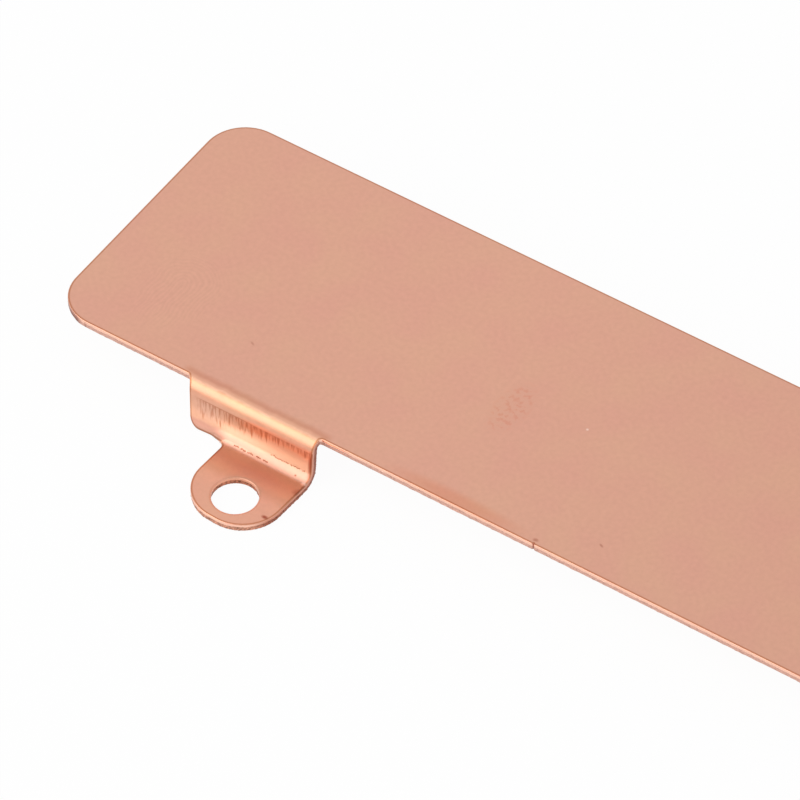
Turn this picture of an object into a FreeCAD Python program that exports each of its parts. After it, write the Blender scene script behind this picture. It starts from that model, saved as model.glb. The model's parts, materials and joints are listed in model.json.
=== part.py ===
import FreeCAD, Part
import os
import Sketcher

# Copper heatsink plate for a gumstick solid-state drive, blanked and folded from one sheet.
# Frame: +X along the plate, +Y across it and away from the screw ear, +Z up.
# Origin: centre of the plate's underside, the face that lies on the drive's thermal pad.

SIZES = [
    ("plate_length", 70.0, "plate, end to end"),
    ("plate_width", 22.0, "plate, long edge to long edge"),
    ("plate_corner_radius", 3.1, "plate corners, seen from above"),
    ("sheet_thickness", 0.6, "copper sheet"),
    ("tab_from_end", 12.29, "end of the plate to the tab's left side"),
    ("root_radius", 0.45, "blank's inside corners where the tab leaves the plate"),
    ("joggle_drop", 3.55, "top of the plate down to the top of the ear"),
    ("upper_bend_radius", 0.25, "inside radius of the fold at the plate"),
    ("lower_bend_radius", 0.7, "inside radius of the fold at the ear"),
    ("shoulder_width", 3.03, "tab beside the ear, which ends in the lower fold"),
    ("shoulder_angle", 68.0, "degrees of the lower fold that the shoulder runs round"),
    ("shoulder_radius", 0.85, "outer corner of the shoulder"),
    ("neck_radius", 0.3, "inner corner between shoulder and ear"),
    ("hole_diameter", 3.3, "clearance hole for a 3 mm screw"),
    ("hole_from_plate", 4.91, "long edge of the plate to the hole's centre"),
    ("side_land", 1.71, "metal left on each side of the hole"),
    ("tip_land", 0.73, "metal left between the hole and the ear's tip"),
    ("ear_corner_radius", 3.1, "ear's two corners at its tip"),
]

# Sizes that follow from the sheet's cells, as expressions.
EAR_WIDTH = "(sizes.hole_diameter + 2 * sizes.side_land)"
EAR_REACH = "(sizes.hole_from_plate + sizes.hole_diameter / 2 + sizes.tip_land)"
EAR_TIP_Y = f"(-sizes.plate_width / 2 - {EAR_REACH})"
TAB_LEFT = "(sizes.tab_from_end - sizes.plate_length / 2)"
TAB_WIDTH = f"({EAR_WIDTH} + sizes.shoulder_width)"
TAB_RIGHT = f"({TAB_LEFT} + {TAB_WIDTH})"
HOLE_X = f"({TAB_LEFT} + sizes.shoulder_width + {EAR_WIDTH} / 2)"
WALL_OFFSET = "(sizes.upper_bend_radius + sizes.sheet_thickness)"
FLANK_WIDTH = "(2 * sizes.root_radius)"
FLANK_DEPTH = "(sizes.joggle_drop + sizes.sheet_thickness)"
LOWER_AXIS_Y = f"(-sizes.plate_width / 2 - {WALL_OFFSET} - sizes.lower_bend_radius)"
LOWER_AXIS_Z = "(sizes.sheet_thickness - sizes.joggle_drop + sizes.lower_bend_radius)"
CORNER_LIMIT = "0.45 * sizes.shoulder_width"
SHOULDER_RADIUS = f"min(sizes.shoulder_radius; {CORNER_LIMIT})"
NECK_RADIUS = f"min(sizes.neck_radius; {CORNER_LIMIT})"
EAR_CORNER_RADIUS = f"min(sizes.ear_corner_radius; 0.49 * {EAR_WIDTH})"

# The tab's two sides: name, position along X, and the way out from the tab.
TAB_SIDES = [("left", TAB_LEFT, -1), ("right", TAB_RIGHT, 1)]

# Sketcher's numbers for the ends and the centre of a piece of geometry, and for the sketch origin.
START, END, CENTRE = 1, 2, 3
ORIGIN = (-1, 1)
X_AXIS = -1
TOLERANCE = 1e-6

doc = FreeCAD.newDocument("ssd_heatsink")

sheet = doc.addObject("Spreadsheet::Sheet", "sizes")
for row, (alias, number, meaning) in enumerate(SIZES, start=1):
    sheet.set(f"A{row}", alias)
    sheet.set(f"B{row}", str(number))
    sheet.set(f"C{row}", meaning)
    sheet.setAlias(f"B{row}", alias)
doc.recompute()

body = doc.addObject("PartDesign::Body", "heatsink")
body.Label = "heatsink"


def value(expression):
    """The number that an expression on the sheet's cells gives."""
    return float(sheet.evalExpression(expression.replace("sizes.", "")))


def new_sketch(name, role):
    """A sketch on one of the body's own origin planes, named by its role."""
    sketch = body.newObject("Sketcher::SketchObject", name)
    plane = next(item for item in body.Origin.OriginFeatures if item.Role == role)
    sketch.AttachmentSupport = (plane, [""])
    sketch.MapMode = "FlatFace"
    return sketch


def line(sketch, start, end):
    """Adds a straight line between two points and gives its number."""
    first = FreeCAD.Vector(*start, 0)
    last = FreeCAD.Vector(*end, 0)
    return sketch.addGeometry(Part.LineSegment(first, last))


def arc(sketch, centre, radius, start_degrees, end_degrees):
    """Adds an anticlockwise arc and gives its number."""
    circle = Part.Circle(FreeCAD.Vector(*centre, 0), FreeCAD.Vector(0, 0, 1), radius)
    start = FreeCAD.Units.Quantity(f"{start_degrees} deg").getValueAs("rad").Value
    end = FreeCAD.Units.Quantity(f"{end_degrees} deg").getValueAs("rad").Value
    return sketch.addGeometry(Part.ArcOfCircle(circle, start, end))


def tie(sketch, kind, *parts):
    """Adds a constraint without a size."""
    sketch.addConstraint(Sketcher.Constraint(kind, *parts))


def size(sketch, name, expression, kind, *parts):
    """Adds a named constraint whose size is bound to the sheet."""
    number = sketch.addConstraint(Sketcher.Constraint(kind, *parts, value(expression)))
    sketch.renameConstraint(number, name)
    sketch.setExpression(f"Constraints.{name}", expression)


def upright_edges(feature, corners):
    """Names of a feature's straight upright edges that stand at the given (x, y) corners."""
    names = []
    for number, edge in enumerate(feature.Shape.Edges, start=1):
        ends = [vertex.Point for vertex in edge.Vertexes]
        for x, y in corners:
            if all(abs(end.x - x) < TOLERANCE and abs(end.y - y) < TOLERANCE for end in ends):
                names.append(f"Edge{number}")
    return names


# Plate: a rectangle centred on the origin, one sheet thick.
half_length = value("sizes.plate_length / 2")
half_width = value("sizes.plate_width / 2")

plate_outline = new_sketch("plate_outline", "XY_Plane")
near_edge = line(plate_outline, (-half_length, -half_width), (half_length, -half_width))
right_end = line(plate_outline, (half_length, -half_width), (half_length, half_width))
far_edge = line(plate_outline, (half_length, half_width), (-half_length, half_width))
left_end = line(plate_outline, (-half_length, half_width), (-half_length, -half_width))
plate_sides = [near_edge, right_end, far_edge, left_end]
for this_side, next_side in zip(plate_sides, plate_sides[1:] + plate_sides[:1]):
    tie(plate_outline, "Coincident", this_side, END, next_side, START)
tie(plate_outline, "Horizontal", near_edge)
tie(plate_outline, "Horizontal", far_edge)
tie(plate_outline, "Vertical", right_end)
tie(plate_outline, "Vertical", left_end)
tie(plate_outline, "Symmetric", near_edge, START, far_edge, START, *ORIGIN)
size(plate_outline, "length", "sizes.plate_length", "DistanceX", near_edge, START, near_edge, END)
size(plate_outline, "width", "sizes.plate_width", "DistanceY", right_end, START, right_end, END)

plate = body.newObject("PartDesign::Pad", "plate")
plate.Profile = plate_outline
plate.setExpression("Length", "sizes.sheet_thickness")
doc.recompute()

plate_corners = body.newObject("PartDesign::Fillet", "plate_corners")
corner_points = [(x, y) for x in (-half_length, half_length) for y in (-half_width, half_width)]
plate_corners.Base = (plate, upright_edges(plate, corner_points))
plate_corners.setExpression("Radius", "sizes.plate_corner_radius")
doc.recompute()

# Folded tab: the sheet's section, turned down at the plate's edge and out again into the ear.
# It starts out wider than the tab by a root radius on each side, and the side cuts shape it.
thickness = value("sizes.sheet_thickness")
upper_inside = value("sizes.upper_bend_radius")
upper_outside = value(WALL_OFFSET)
lower_inside = value("sizes.lower_bend_radius")
lower_outside = lower_inside + thickness
upper_axis = (-half_width, thickness - upper_outside)
lower_axis = (value(LOWER_AXIS_Y), value(LOWER_AXIS_Z))
ear_top = lower_axis[1] - lower_inside
ear_bottom = lower_axis[1] - lower_outside
ear_tip = value(EAR_TIP_Y)
wall_front = -half_width - upper_outside
wall_back = -half_width - upper_inside

fold_section = new_sketch("fold_section", "YZ_Plane")
upper_outer_arc = arc(fold_section, upper_axis, upper_outside, 90, 180)
wall_front_line = line(fold_section, (wall_front, upper_axis[1]), (wall_front, lower_axis[1]))
lower_inner_arc = arc(fold_section, lower_axis, lower_inside, -90, 0)
ear_top_line = line(fold_section, (lower_axis[0], ear_top), (ear_tip, ear_top))
ear_tip_line = line(fold_section, (ear_tip, ear_top), (ear_tip, ear_bottom))
ear_bottom_line = line(fold_section, (ear_tip, ear_bottom), (lower_axis[0], ear_bottom))
lower_outer_arc = arc(fold_section, lower_axis, lower_outside, -90, 0)
wall_back_line = line(fold_section, (wall_back, lower_axis[1]), (wall_back, upper_axis[1]))
upper_inner_arc = arc(fold_section, upper_axis, upper_inside, 90, 180)
root_line = line(fold_section, (-half_width, 0), (-half_width, thickness))

tie(fold_section, "Tangent", upper_outer_arc, END, wall_front_line, START)
tie(fold_section, "Tangent", wall_front_line, END, lower_inner_arc, END)
tie(fold_section, "Tangent", lower_inner_arc, START, ear_top_line, START)
tie(fold_section, "Coincident", ear_top_line, END, ear_tip_line, START)
tie(fold_section, "Coincident", ear_tip_line, END, ear_bottom_line, START)
tie(fold_section, "Tangent", ear_bottom_line, END, lower_outer_arc, START)
tie(fold_section, "Tangent", lower_outer_arc, END, wall_back_line, START)
tie(fold_section, "Tangent", wall_back_line, END, upper_inner_arc, END)
tie(fold_section, "Coincident", upper_inner_arc, START, root_line, START)
tie(fold_section, "Coincident", root_line, END, upper_outer_arc, START)
tie(fold_section, "Coincident", upper_inner_arc, CENTRE, upper_outer_arc, CENTRE)
tie(fold_section, "Coincident", lower_inner_arc, CENTRE, lower_outer_arc, CENTRE)
tie(fold_section, "PointOnObject", upper_outer_arc, CENTRE, root_line)
for upright in (wall_front_line, wall_back_line, ear_tip_line, root_line):
    tie(fold_section, "Vertical", upright)
for level in (ear_top_line, ear_bottom_line):
    tie(fold_section, "Horizontal", level)
size(fold_section, "thickness", "sizes.sheet_thickness",
     "DistanceY", root_line, START, root_line, END)
size(fold_section, "upper_radius", "sizes.upper_bend_radius", "Radius", upper_inner_arc)
size(fold_section, "lower_radius", "sizes.lower_bend_radius", "Radius", lower_inner_arc)
size(fold_section, "drop", "sizes.joggle_drop",
     "DistanceY", ear_top_line, START, root_line, END)
size(fold_section, "reach", EAR_REACH, "DistanceX", ear_top_line, END, root_line, END)
size(fold_section, "plate_edge", "sizes.plate_width / 2",
     "DistanceX", root_line, START, *ORIGIN)
tie(fold_section, "PointOnObject", root_line, START, X_AXIS)
fold_section.setExpression("AttachmentOffset.Base.z", f"{TAB_LEFT} - sizes.root_radius")

fold = body.newObject("PartDesign::Pad", "fold")
fold.Profile = fold_section
fold.setExpression("Length", f"{TAB_WIDTH} + 2 * sizes.root_radius")
doc.recompute()

# Tab sides at the upper fold: square to the plate, with the blank's rounded inside corners.
root = value("sizes.root_radius")
tab_left = value(TAB_LEFT)
tab_right = value(TAB_RIGHT)
root_axis_y = -half_width - root
past_wall = root_axis_y - upper_outside

root_outline = new_sketch("root_outline", "XY_Plane")
for side, position, outward in TAB_SIDES:
    x = value(position)
    outer_x = x + outward * root
    if outward < 0:
        root_arc = arc(root_outline, (outer_x, root_axis_y), root, 0, 90)
        tab_end, plate_end = START, END
    else:
        root_arc = arc(root_outline, (outer_x, root_axis_y), root, 90, 180)
        tab_end, plate_end = END, START
    tab_line = line(root_outline, (x, root_axis_y), (x, past_wall))
    across_line = line(root_outline, (x, past_wall), (outer_x, past_wall))
    end_line = line(root_outline, (outer_x, past_wall), (outer_x, -half_width))
    tie(root_outline, "Tangent", root_arc, tab_end, tab_line, START)
    tie(root_outline, "Coincident", tab_line, END, across_line, START)
    tie(root_outline, "Coincident", across_line, END, end_line, START)
    tie(root_outline, "Coincident", end_line, END, root_arc, plate_end)
    tie(root_outline, "PointOnObject", root_arc, CENTRE, end_line)
    tie(root_outline, "Vertical", tab_line)
    tie(root_outline, "Horizontal", across_line)
    tie(root_outline, "Vertical", end_line)
    size(root_outline, f"{side}_root", "sizes.root_radius", "Radius", root_arc)
    size(root_outline, f"{side}_side", f"-{position}", "DistanceX", tab_line, START, *ORIGIN)
    size(root_outline, f"{side}_edge", "sizes.plate_width / 2", "DistanceY", end_line, END, *ORIGIN)
    size(root_outline, f"{side}_depth", WALL_OFFSET, "DistanceY", tab_line, END, tab_line, START)

roots = body.newObject("PartDesign::Pocket", "roots")
roots.Profile = root_outline
roots.Type = "ThroughAll"
roots.Midplane = True
doc.recompute()

# Tab sides below the upper fold: square to the wall, down past the ear.
flank_top = upper_axis[1]
flank_bottom = flank_top - value(FLANK_DEPTH)

flank_outline = new_sketch("flank_outline", "XZ_Plane")
for side, position, outward in TAB_SIDES:
    x = value(position)
    outer_x = x + outward * value(FLANK_WIDTH)
    top_line = line(flank_outline, (outer_x, flank_top), (x, flank_top))
    tab_line = line(flank_outline, (x, flank_top), (x, flank_bottom))
    bottom_line = line(flank_outline, (x, flank_bottom), (outer_x, flank_bottom))
    end_line = line(flank_outline, (outer_x, flank_bottom), (outer_x, flank_top))
    flank_lines = [top_line, tab_line, bottom_line, end_line]
    for this_line, next_line in zip(flank_lines, flank_lines[1:] + flank_lines[:1]):
        tie(flank_outline, "Coincident", this_line, END, next_line, START)
    tie(flank_outline, "Horizontal", top_line)
    tie(flank_outline, "Vertical", tab_line)
    tie(flank_outline, "Horizontal", bottom_line)
    tie(flank_outline, "Vertical", end_line)
    first_end, last_end = (START, END) if outward < 0 else (END, START)
    size(flank_outline, f"{side}_width", FLANK_WIDTH,
         "DistanceX", top_line, first_end, top_line, last_end)
    size(flank_outline, f"{side}_side", f"-{position}", "DistanceX", tab_line, START, *ORIGIN)
    size(flank_outline, f"{side}_top", "sizes.upper_bend_radius", "DistanceY", tab_line, START, *ORIGIN)
    size(flank_outline, f"{side}_depth", FLANK_DEPTH, "DistanceY", tab_line, END, tab_line, START)

flanks = body.newObject("PartDesign::Pocket", "flanks")
flanks.Profile = flank_outline
flanks.Type = "ThroughAll"
flanks.Midplane = True
doc.recompute()

# Shoulder: the tab stops part of the way round the lower fold, and only the ear runs on.
# The cut stands square to the sheet there, as it did in the flat blank, so its sketch lies
# on the fold's axis and is tilted with the sheet, and the shoulder runs along its X axis.
shoulder_width = value("sizes.shoulder_width")
ear_left = tab_left + shoulder_width
outer_radius = value(SHOULDER_RADIUS)
neck_radius = value(NECK_RADIUS)
cut_length = value(EAR_REACH)
beside_tab = tab_left - outer_radius

shoulder_outline = new_sketch("shoulder_outline", "XY_Plane")
lead_line = line(shoulder_outline, (beside_tab, outer_radius), (tab_left, outer_radius))
corner_arc = arc(shoulder_outline, (tab_left + outer_radius, outer_radius), outer_radius, 180, 270)
shoulder_line = line(shoulder_outline, (tab_left + outer_radius, 0), (ear_left - neck_radius, 0))
neck_arc = arc(shoulder_outline, (ear_left - neck_radius, -neck_radius), neck_radius, 0, 90)
ear_side_line = line(shoulder_outline, (ear_left, -neck_radius), (ear_left, -cut_length))
bottom_line = line(shoulder_outline, (ear_left, -cut_length), (beside_tab, -cut_length))
outer_line = line(shoulder_outline, (beside_tab, -cut_length), (beside_tab, outer_radius))

tie(shoulder_outline, "Coincident", lead_line, END, corner_arc, START)
tie(shoulder_outline, "Tangent", corner_arc, END, shoulder_line, START)
tie(shoulder_outline, "Tangent", shoulder_line, END, neck_arc, END)
tie(shoulder_outline, "Tangent", neck_arc, START, ear_side_line, START)
tie(shoulder_outline, "Coincident", ear_side_line, END, bottom_line, START)
tie(shoulder_outline, "Coincident", bottom_line, END, outer_line, START)
tie(shoulder_outline, "Coincident", outer_line, END, lead_line, START)
tie(shoulder_outline, "PointOnObject", corner_arc, CENTRE, lead_line)
tie(shoulder_outline, "PointOnObject", shoulder_line, START, X_AXIS)
for level in (lead_line, shoulder_line, bottom_line):
    tie(shoulder_outline, "Horizontal", level)
for upright in (ear_side_line, outer_line):
    tie(shoulder_outline, "Vertical", upright)
size(shoulder_outline, "shoulder_radius", SHOULDER_RADIUS, "Radius", corner_arc)
size(shoulder_outline, "neck_radius", NECK_RADIUS, "Radius", neck_arc)
size(shoulder_outline, "shoulder_width", "sizes.shoulder_width",
     "DistanceX", lead_line, END, ear_side_line, START)
size(shoulder_outline, "cut_length", EAR_REACH,
     "DistanceY", ear_side_line, END, shoulder_line, END)
size(shoulder_outline, "clear_of_tab", SHOULDER_RADIUS,
     "DistanceX", lead_line, START, lead_line, END)
size(shoulder_outline, "tab_left", f"-{TAB_LEFT}", "DistanceX", lead_line, END, *ORIGIN)
tilt = FreeCAD.Rotation(FreeCAD.Vector(1, 0, 0), value("90 - sizes.shoulder_angle"))
shoulder_outline.AttachmentOffset = FreeCAD.Placement(FreeCAD.Vector(0, *lower_axis), tilt)
shoulder_outline.setExpression("AttachmentOffset.Base.y", LOWER_AXIS_Y)
shoulder_outline.setExpression("AttachmentOffset.Base.z", LOWER_AXIS_Z)
shoulder_outline.setExpression("AttachmentOffset.Rotation.Angle", "90 - sizes.shoulder_angle")

shoulder = body.newObject("PartDesign::Pocket", "shoulder")
shoulder.Profile = shoulder_outline
shoulder.Type = "ThroughAll"
shoulder.Midplane = True
doc.recompute()

# Ear: two large rounds at the tip, and a clearance hole on the middle of its width.
ear_corners = body.newObject("PartDesign::Fillet", "ear_corners")
tip_points = [(ear_left, ear_tip), (tab_right, ear_tip)]
ear_corners.Base = (shoulder, upright_edges(shoulder, tip_points))
ear_corners.setExpression("Radius", EAR_CORNER_RADIUS)
doc.recompute()

hole_centre = new_sketch("hole_centre", "XY_Plane")
hole_point = FreeCAD.Vector(value(HOLE_X), value("-sizes.plate_width / 2 - sizes.hole_from_plate"), 0)
hole_circle = hole_centre.addGeometry(
    Part.Circle(hole_point, FreeCAD.Vector(0, 0, 1), value("sizes.hole_diameter / 2")))
size(hole_centre, "diameter", "sizes.hole_diameter", "Diameter", hole_circle)
size(hole_centre, "across", f"-{HOLE_X}", "DistanceX", hole_circle, CENTRE, *ORIGIN)
size(hole_centre, "out", "sizes.plate_width / 2 + sizes.hole_from_plate",
     "DistanceY", hole_circle, CENTRE, *ORIGIN)
doc.recompute()

screw_hole = body.newObject("PartDesign::Hole", "screw_hole")
screw_hole.Profile = hole_centre
screw_hole.ThreadType = "None"
screw_hole.DepthType = "ThroughAll"
screw_hole.setExpression("Diameter", "sizes.hole_diameter")
body.Tip = screw_hole
doc.recompute()

# Every object has to be sound, every sketch fully fixed, and every cut has to take metal away.
for item in doc.Objects:
    if "Invalid" in item.State or "Error" in item.State:
        raise RuntimeError(f"{item.Name} failed: {item.State}")
    if item.isDerivedFrom("Sketcher::SketchObject") and not item.FullyConstrained:
        raise RuntimeError(f"sketch {item.Name} is not fully constrained")
cuts = [roots, flanks, shoulder, ear_corners, screw_hole]
for before, after in zip([fold] + cuts, cuts):
    if not after.Shape.Volume < before.Shape.Volume:
        raise RuntimeError(f"{after.Name} takes nothing away")
solid = body.Shape
if solid.isNull() or not solid.isValid() or len(solid.Solids) != 1:
    raise RuntimeError("the heatsink is not one valid solid")

os.makedirs("parts", exist_ok=True)
solid.exportStep(f"parts/{body.Label}.step")
print(f"{body.Label}: {solid.Volume:.1f} mm3, {len(solid.Faces)} faces")
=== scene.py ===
import json

import bmesh
import bpy
import numpy as np
from mathutils import Matrix, Vector


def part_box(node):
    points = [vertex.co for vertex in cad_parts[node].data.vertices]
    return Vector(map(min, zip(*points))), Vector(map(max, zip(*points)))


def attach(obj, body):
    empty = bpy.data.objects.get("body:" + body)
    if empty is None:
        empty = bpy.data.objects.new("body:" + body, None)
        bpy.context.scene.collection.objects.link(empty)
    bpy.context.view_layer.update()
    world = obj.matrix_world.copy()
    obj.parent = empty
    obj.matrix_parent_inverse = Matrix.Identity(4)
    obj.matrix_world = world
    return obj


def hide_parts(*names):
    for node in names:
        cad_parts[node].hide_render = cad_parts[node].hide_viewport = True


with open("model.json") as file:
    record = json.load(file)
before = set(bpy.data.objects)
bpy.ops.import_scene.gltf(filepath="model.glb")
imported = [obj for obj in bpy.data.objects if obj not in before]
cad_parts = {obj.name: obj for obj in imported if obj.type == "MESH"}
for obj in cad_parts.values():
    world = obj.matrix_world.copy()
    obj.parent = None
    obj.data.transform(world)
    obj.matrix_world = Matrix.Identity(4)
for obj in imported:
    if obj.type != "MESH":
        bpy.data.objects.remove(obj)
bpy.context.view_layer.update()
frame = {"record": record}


# The folded sheet: one strip of copper sheet, blanked to its outline and pierced in a press, then
# folded down and out again at the tab, so that the ear lies level below the plate. It is one piece,
# held by one screw through the ear, and all of it is bare metal.

MM = 0.001
low, high = (np.array(corner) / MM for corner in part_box("heatsink"))
screw_hole = next(mount for mount in frame["record"]["mounts"] if mount["name"] == "screw_hole")
HOLE_X, HOLE_Y = np.array(screw_hole["pos_m"][:2]) / MM
HOLE_RADIUS = screw_hole["dims"]["r_mm"]

# The plate. Lengths are in millimetres and angles in degrees.
SHEET = high[2]
LEFT_END, RIGHT_END = low[0], high[0]
NEAR_EDGE = -high[1]
PLATE_WIDTH = 2 * high[1]
CORNER_RADIUS = 3.1

# The tab, at its distance from the plate's left end, with a small corner at each side of its root
# and a wide flare on the left.
TAB_FROM_END = 12.19
TAB_LEFT = LEFT_END + TAB_FROM_END
ROOT_RADIUS = 0.2
FLARE_RADIUS, FLARE_TURN = 2.0, 43

# The ear: the metal on each side of the hole, and how far it is shifted from the hole and leans.
BESIDE_HOLE = 1.735
EAR_SHIFT = 0.125
LEAN = 3.1
TIP_RADIUS = 3.1
EAR_TOP = low[2] + SHEET
EAR_HALF = HOLE_RADIUS + BESIDE_HOLE
EAR_MIDDLE = HOLE_X - EAR_SHIFT
EAR_LEFT, EAR_RIGHT = EAR_MIDDLE - EAR_HALF, EAR_MIDDLE + EAR_HALF

# The shoulder beside the ear: how far round the lower bend it goes, its outer corner and the neck,
# its slant, and how much of that bend is left in it past the place where the bend opens out.
SHOULDER_TURN = 68.0
SHOULDER_RADIUS, NECK_RADIUS = 0.85, 0.4
SHOULDER_LEAN = -2.5
SHOULDER_BEND = 0.37
OPEN_FROM, OPEN_WIDTH = -19.85, 1.2

# Bend radii of the front face, and its lengths round each bend and down the wall between them.
UPPER_INSIDE = 0.25
UPPER_RADIUS = UPPER_INSIDE + SHEET
LOWER_RADIUS = 0.7
UPPER_LENGTH = UPPER_RADIUS * np.pi / 2
LOWER_LENGTH = LOWER_RADIUS * np.pi / 2
WALL_LENGTH = SHEET - UPPER_RADIUS - EAR_TOP - LOWER_RADIUS
LOWER_START = UPPER_LENGTH + WALL_LENGTH
EAR_START = LOWER_START + LOWER_LENGTH
EAR_ROOT_Y = NEAR_EDGE - UPPER_RADIUS - LOWER_RADIUS


def fold(along, reach, depth):
    """Folds the flat blank. A point lies along the plate, reaches past the plate's near edge over
    the front face (less than nothing on the plate), and has a depth under that face. The front face
    runs flat, then round the upper bend, down the wall, round the lower bend and out along the ear;
    depth goes straight in from it. Beside the ear the lower bend opens out smoothly, so that the
    shoulder is almost straight. Nothing goes lower than the ear's underside."""
    beside = np.clip((OPEN_FROM - along) / OPEN_WIDTH, 0, 1)
    lower_radius = LOWER_RADIUS / (1 - (1 - SHOULDER_BEND) * beside ** 2 * (3 - 2 * beside))
    upper = np.clip(reach, 0, UPPER_LENGTH) / UPPER_RADIUS
    wall = np.clip(reach - UPPER_LENGTH, 0, WALL_LENGTH)
    lower = np.clip(reach - LOWER_START, 0, LOWER_LENGTH) / lower_radius
    ear = np.maximum(reach - EAR_START, 0)
    tilt = upper - lower
    y = NEAR_EDGE - np.minimum(reach, 0) - ear
    y = y - UPPER_RADIUS * np.sin(upper) - lower_radius * (1 - np.cos(lower))
    z = SHEET - UPPER_RADIUS * (1 - np.cos(upper)) - wall - lower_radius * np.sin(lower)
    z = np.maximum(z - depth * np.cos(tilt), low[2])
    return np.stack([along, y + depth * np.sin(tilt), z], axis=-1)


ROUND_POINTS = 200


def edge_path(rounds, count):
    """An edge of the blank as rows of along, reach and the angle it faces. Each round turns evenly
    between two angles, at its radius from its centre the way it faces, or the other way where the
    radius is negative and the round hollow. Straight edges join the rounds, and the points lie
    evenly along the whole."""
    turn = np.linspace(0, 1, ROUND_POINTS)
    pieces = []
    for along, reach, radius, start, stop in rounds:
        facing = np.radians(start + (stop - start) * turn)
        pieces.append([along + radius * np.cos(facing), reach - radius * np.sin(facing), facing])
    fine = np.hstack(pieces)
    length = np.append(0, np.hypot(*np.diff(fine[:2])).cumsum())
    return np.array([np.interp(np.linspace(0, length[-1], count), length, row) for row in fine])


def straight(along, reach, facing):
    """A straight edge through points along the plate, all at one reach and facing one way."""
    return np.array([along, np.full_like(along, reach), np.full_like(along, np.radians(facing))])


def inset(path, step):
    """An edge moved into the sheet by a step, straight back from the way it faces."""
    along, reach, facing = path
    return np.array([along - step * np.cos(facing), reach + step * np.sin(facing)])


def ruled(start, stop, share):
    """A flat stretch of sheet: straight lines from the points of one edge to those of another, cut
    at the shares."""
    return start[:, :, None] + (stop - start)[:, :, None] * share


# The lean brings one side of the tip further out, so the tip is cut back to the solid's own reach.
TIP_BACK = 0.012
HOLE_CENTRE = EAR_START + EAR_ROOT_Y - HOLE_Y
TIP = EAR_START + EAR_ROOT_Y - low[1] - TIP_BACK
lean_sine, lean_cosine = np.sin(np.radians(LEAN)), np.cos(np.radians(LEAN))


def leaned(along, reach):
    """A place on the ear, which the blank's cut left a little askew: turned about the hole by the
    lean, so that the tip moves towards the left end."""
    along, reach = along - HOLE_X, reach - HOLE_CENTRE
    return (HOLE_X + along * lean_cosine - reach * lean_sine,
            HOLE_CENTRE + along * lean_sine + reach * lean_cosine)


# Centres of the plate's corner rounds, and where the tab's right side meets the plate.
INNER_LEFT, INNER_RIGHT = LEFT_END + CORNER_RADIUS, RIGHT_END - CORNER_RADIUS
INNER_FAR = CORNER_RADIUS - PLATE_WIDTH
ROOT_RIGHT = leaned(EAR_RIGHT, ROOT_RADIUS)[0] + ROOT_RADIUS

# The tab's left side flares out towards the plate in one wide arc, which ends in a small corner.
flare_out = 1 - np.cos(np.radians(FLARE_TURN))
flare_reach = ROOT_RADIUS + (FLARE_RADIUS - ROOT_RADIUS) * np.sin(np.radians(FLARE_TURN))
ROOT_LEFT = TAB_LEFT - ROOT_RADIUS - (FLARE_RADIUS - ROOT_RADIUS) * flare_out

# The shoulder's edge is slanted. Its outer corner is placed so that the edge meets it smoothly, as
# it does the neck.
SHOULDER_SLOPE = (HOLE_X - (TAB_LEFT + EAR_LEFT) / 2) * lean_sine
SHOULDER = LOWER_START + LOWER_RADIUS * np.radians(SHOULDER_TURN) + SHOULDER_SLOPE
neck_along, neck_reach = leaned(EAR_LEFT - NECK_RADIUS, SHOULDER + NECK_RADIUS)
corner_along = TAB_LEFT + SHOULDER_RADIUS
corner_rise = (neck_along - corner_along) * np.sin(np.radians(SHOULDER_LEAN))
corner_rise = (corner_rise + SHOULDER_RADIUS + NECK_RADIUS) / np.cos(np.radians(SHOULDER_LEAN))
corner_reach = neck_reach - corner_rise

# Columns of the plate and the tab, closer together round the nick in the near edge.
COLUMN_STEP = 0.25
NICK_X = 4.42
NICK_HALF, NICK_COLUMNS = 0.45, 31
near_left = np.linspace(INNER_LEFT, ROOT_LEFT, round((ROOT_LEFT - INNER_LEFT) / COLUMN_STEP))
tab_across = np.linspace(ROOT_LEFT, ROOT_RIGHT, round((ROOT_RIGHT - ROOT_LEFT) / COLUMN_STEP))
near_right = np.linspace(ROOT_RIGHT, INNER_RIGHT, round((INNER_RIGHT - ROOT_RIGHT) / COLUMN_STEP))
near_right = np.union1d(near_right, NICK_X + np.linspace(-NICK_HALF, NICK_HALF, NICK_COLUMNS))
columns = np.concatenate([near_left, tab_across[1:-1], near_right])

# The blank's outline, side by side, with the number of points on each. The tab's rows run as far as
# the reach where the ear's rings begin.
END_POINTS, TAB_POINTS, TIP_POINTS = 72, 110, 150
RINGS_FROM = 5.55
ear_starts = [(*leaned(EAR_LEFT, RINGS_FROM), 0, 180 - LEAN, 180 - LEAN),
              (*leaned(EAR_RIGHT, RINGS_FROM), 0, 360 - LEAN, 360 - LEAN)]
tab_left = edge_path([
    (ROOT_LEFT, ROOT_RADIUS, -ROOT_RADIUS, 270, 180 + FLARE_TURN),
    (TAB_LEFT - FLARE_RADIUS, flare_reach, -FLARE_RADIUS, 180 + FLARE_TURN, 180),
    (corner_along, corner_reach, SHOULDER_RADIUS, 180, 270 - SHOULDER_LEAN),
    (neck_along, neck_reach, -NECK_RADIUS, 270 - SHOULDER_LEAN, 180 - LEAN),
    ear_starts[0],
], TAB_POINTS)
ear_rim = edge_path([
    ear_starts[0],
    (*leaned(EAR_LEFT + TIP_RADIUS, TIP - TIP_RADIUS), TIP_RADIUS, 180 - LEAN, 270 - LEAN),
    (*leaned(EAR_RIGHT - TIP_RADIUS, TIP - TIP_RADIUS), TIP_RADIUS, 270 - LEAN, 360 - LEAN),
    ear_starts[1],
], TIP_POINTS)
tab_right = edge_path([
    ear_starts[1],
    (ROOT_RIGHT, ROOT_RADIUS, -ROOT_RADIUS, 360 - LEAN, 270),
], TAB_POINTS)
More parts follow.
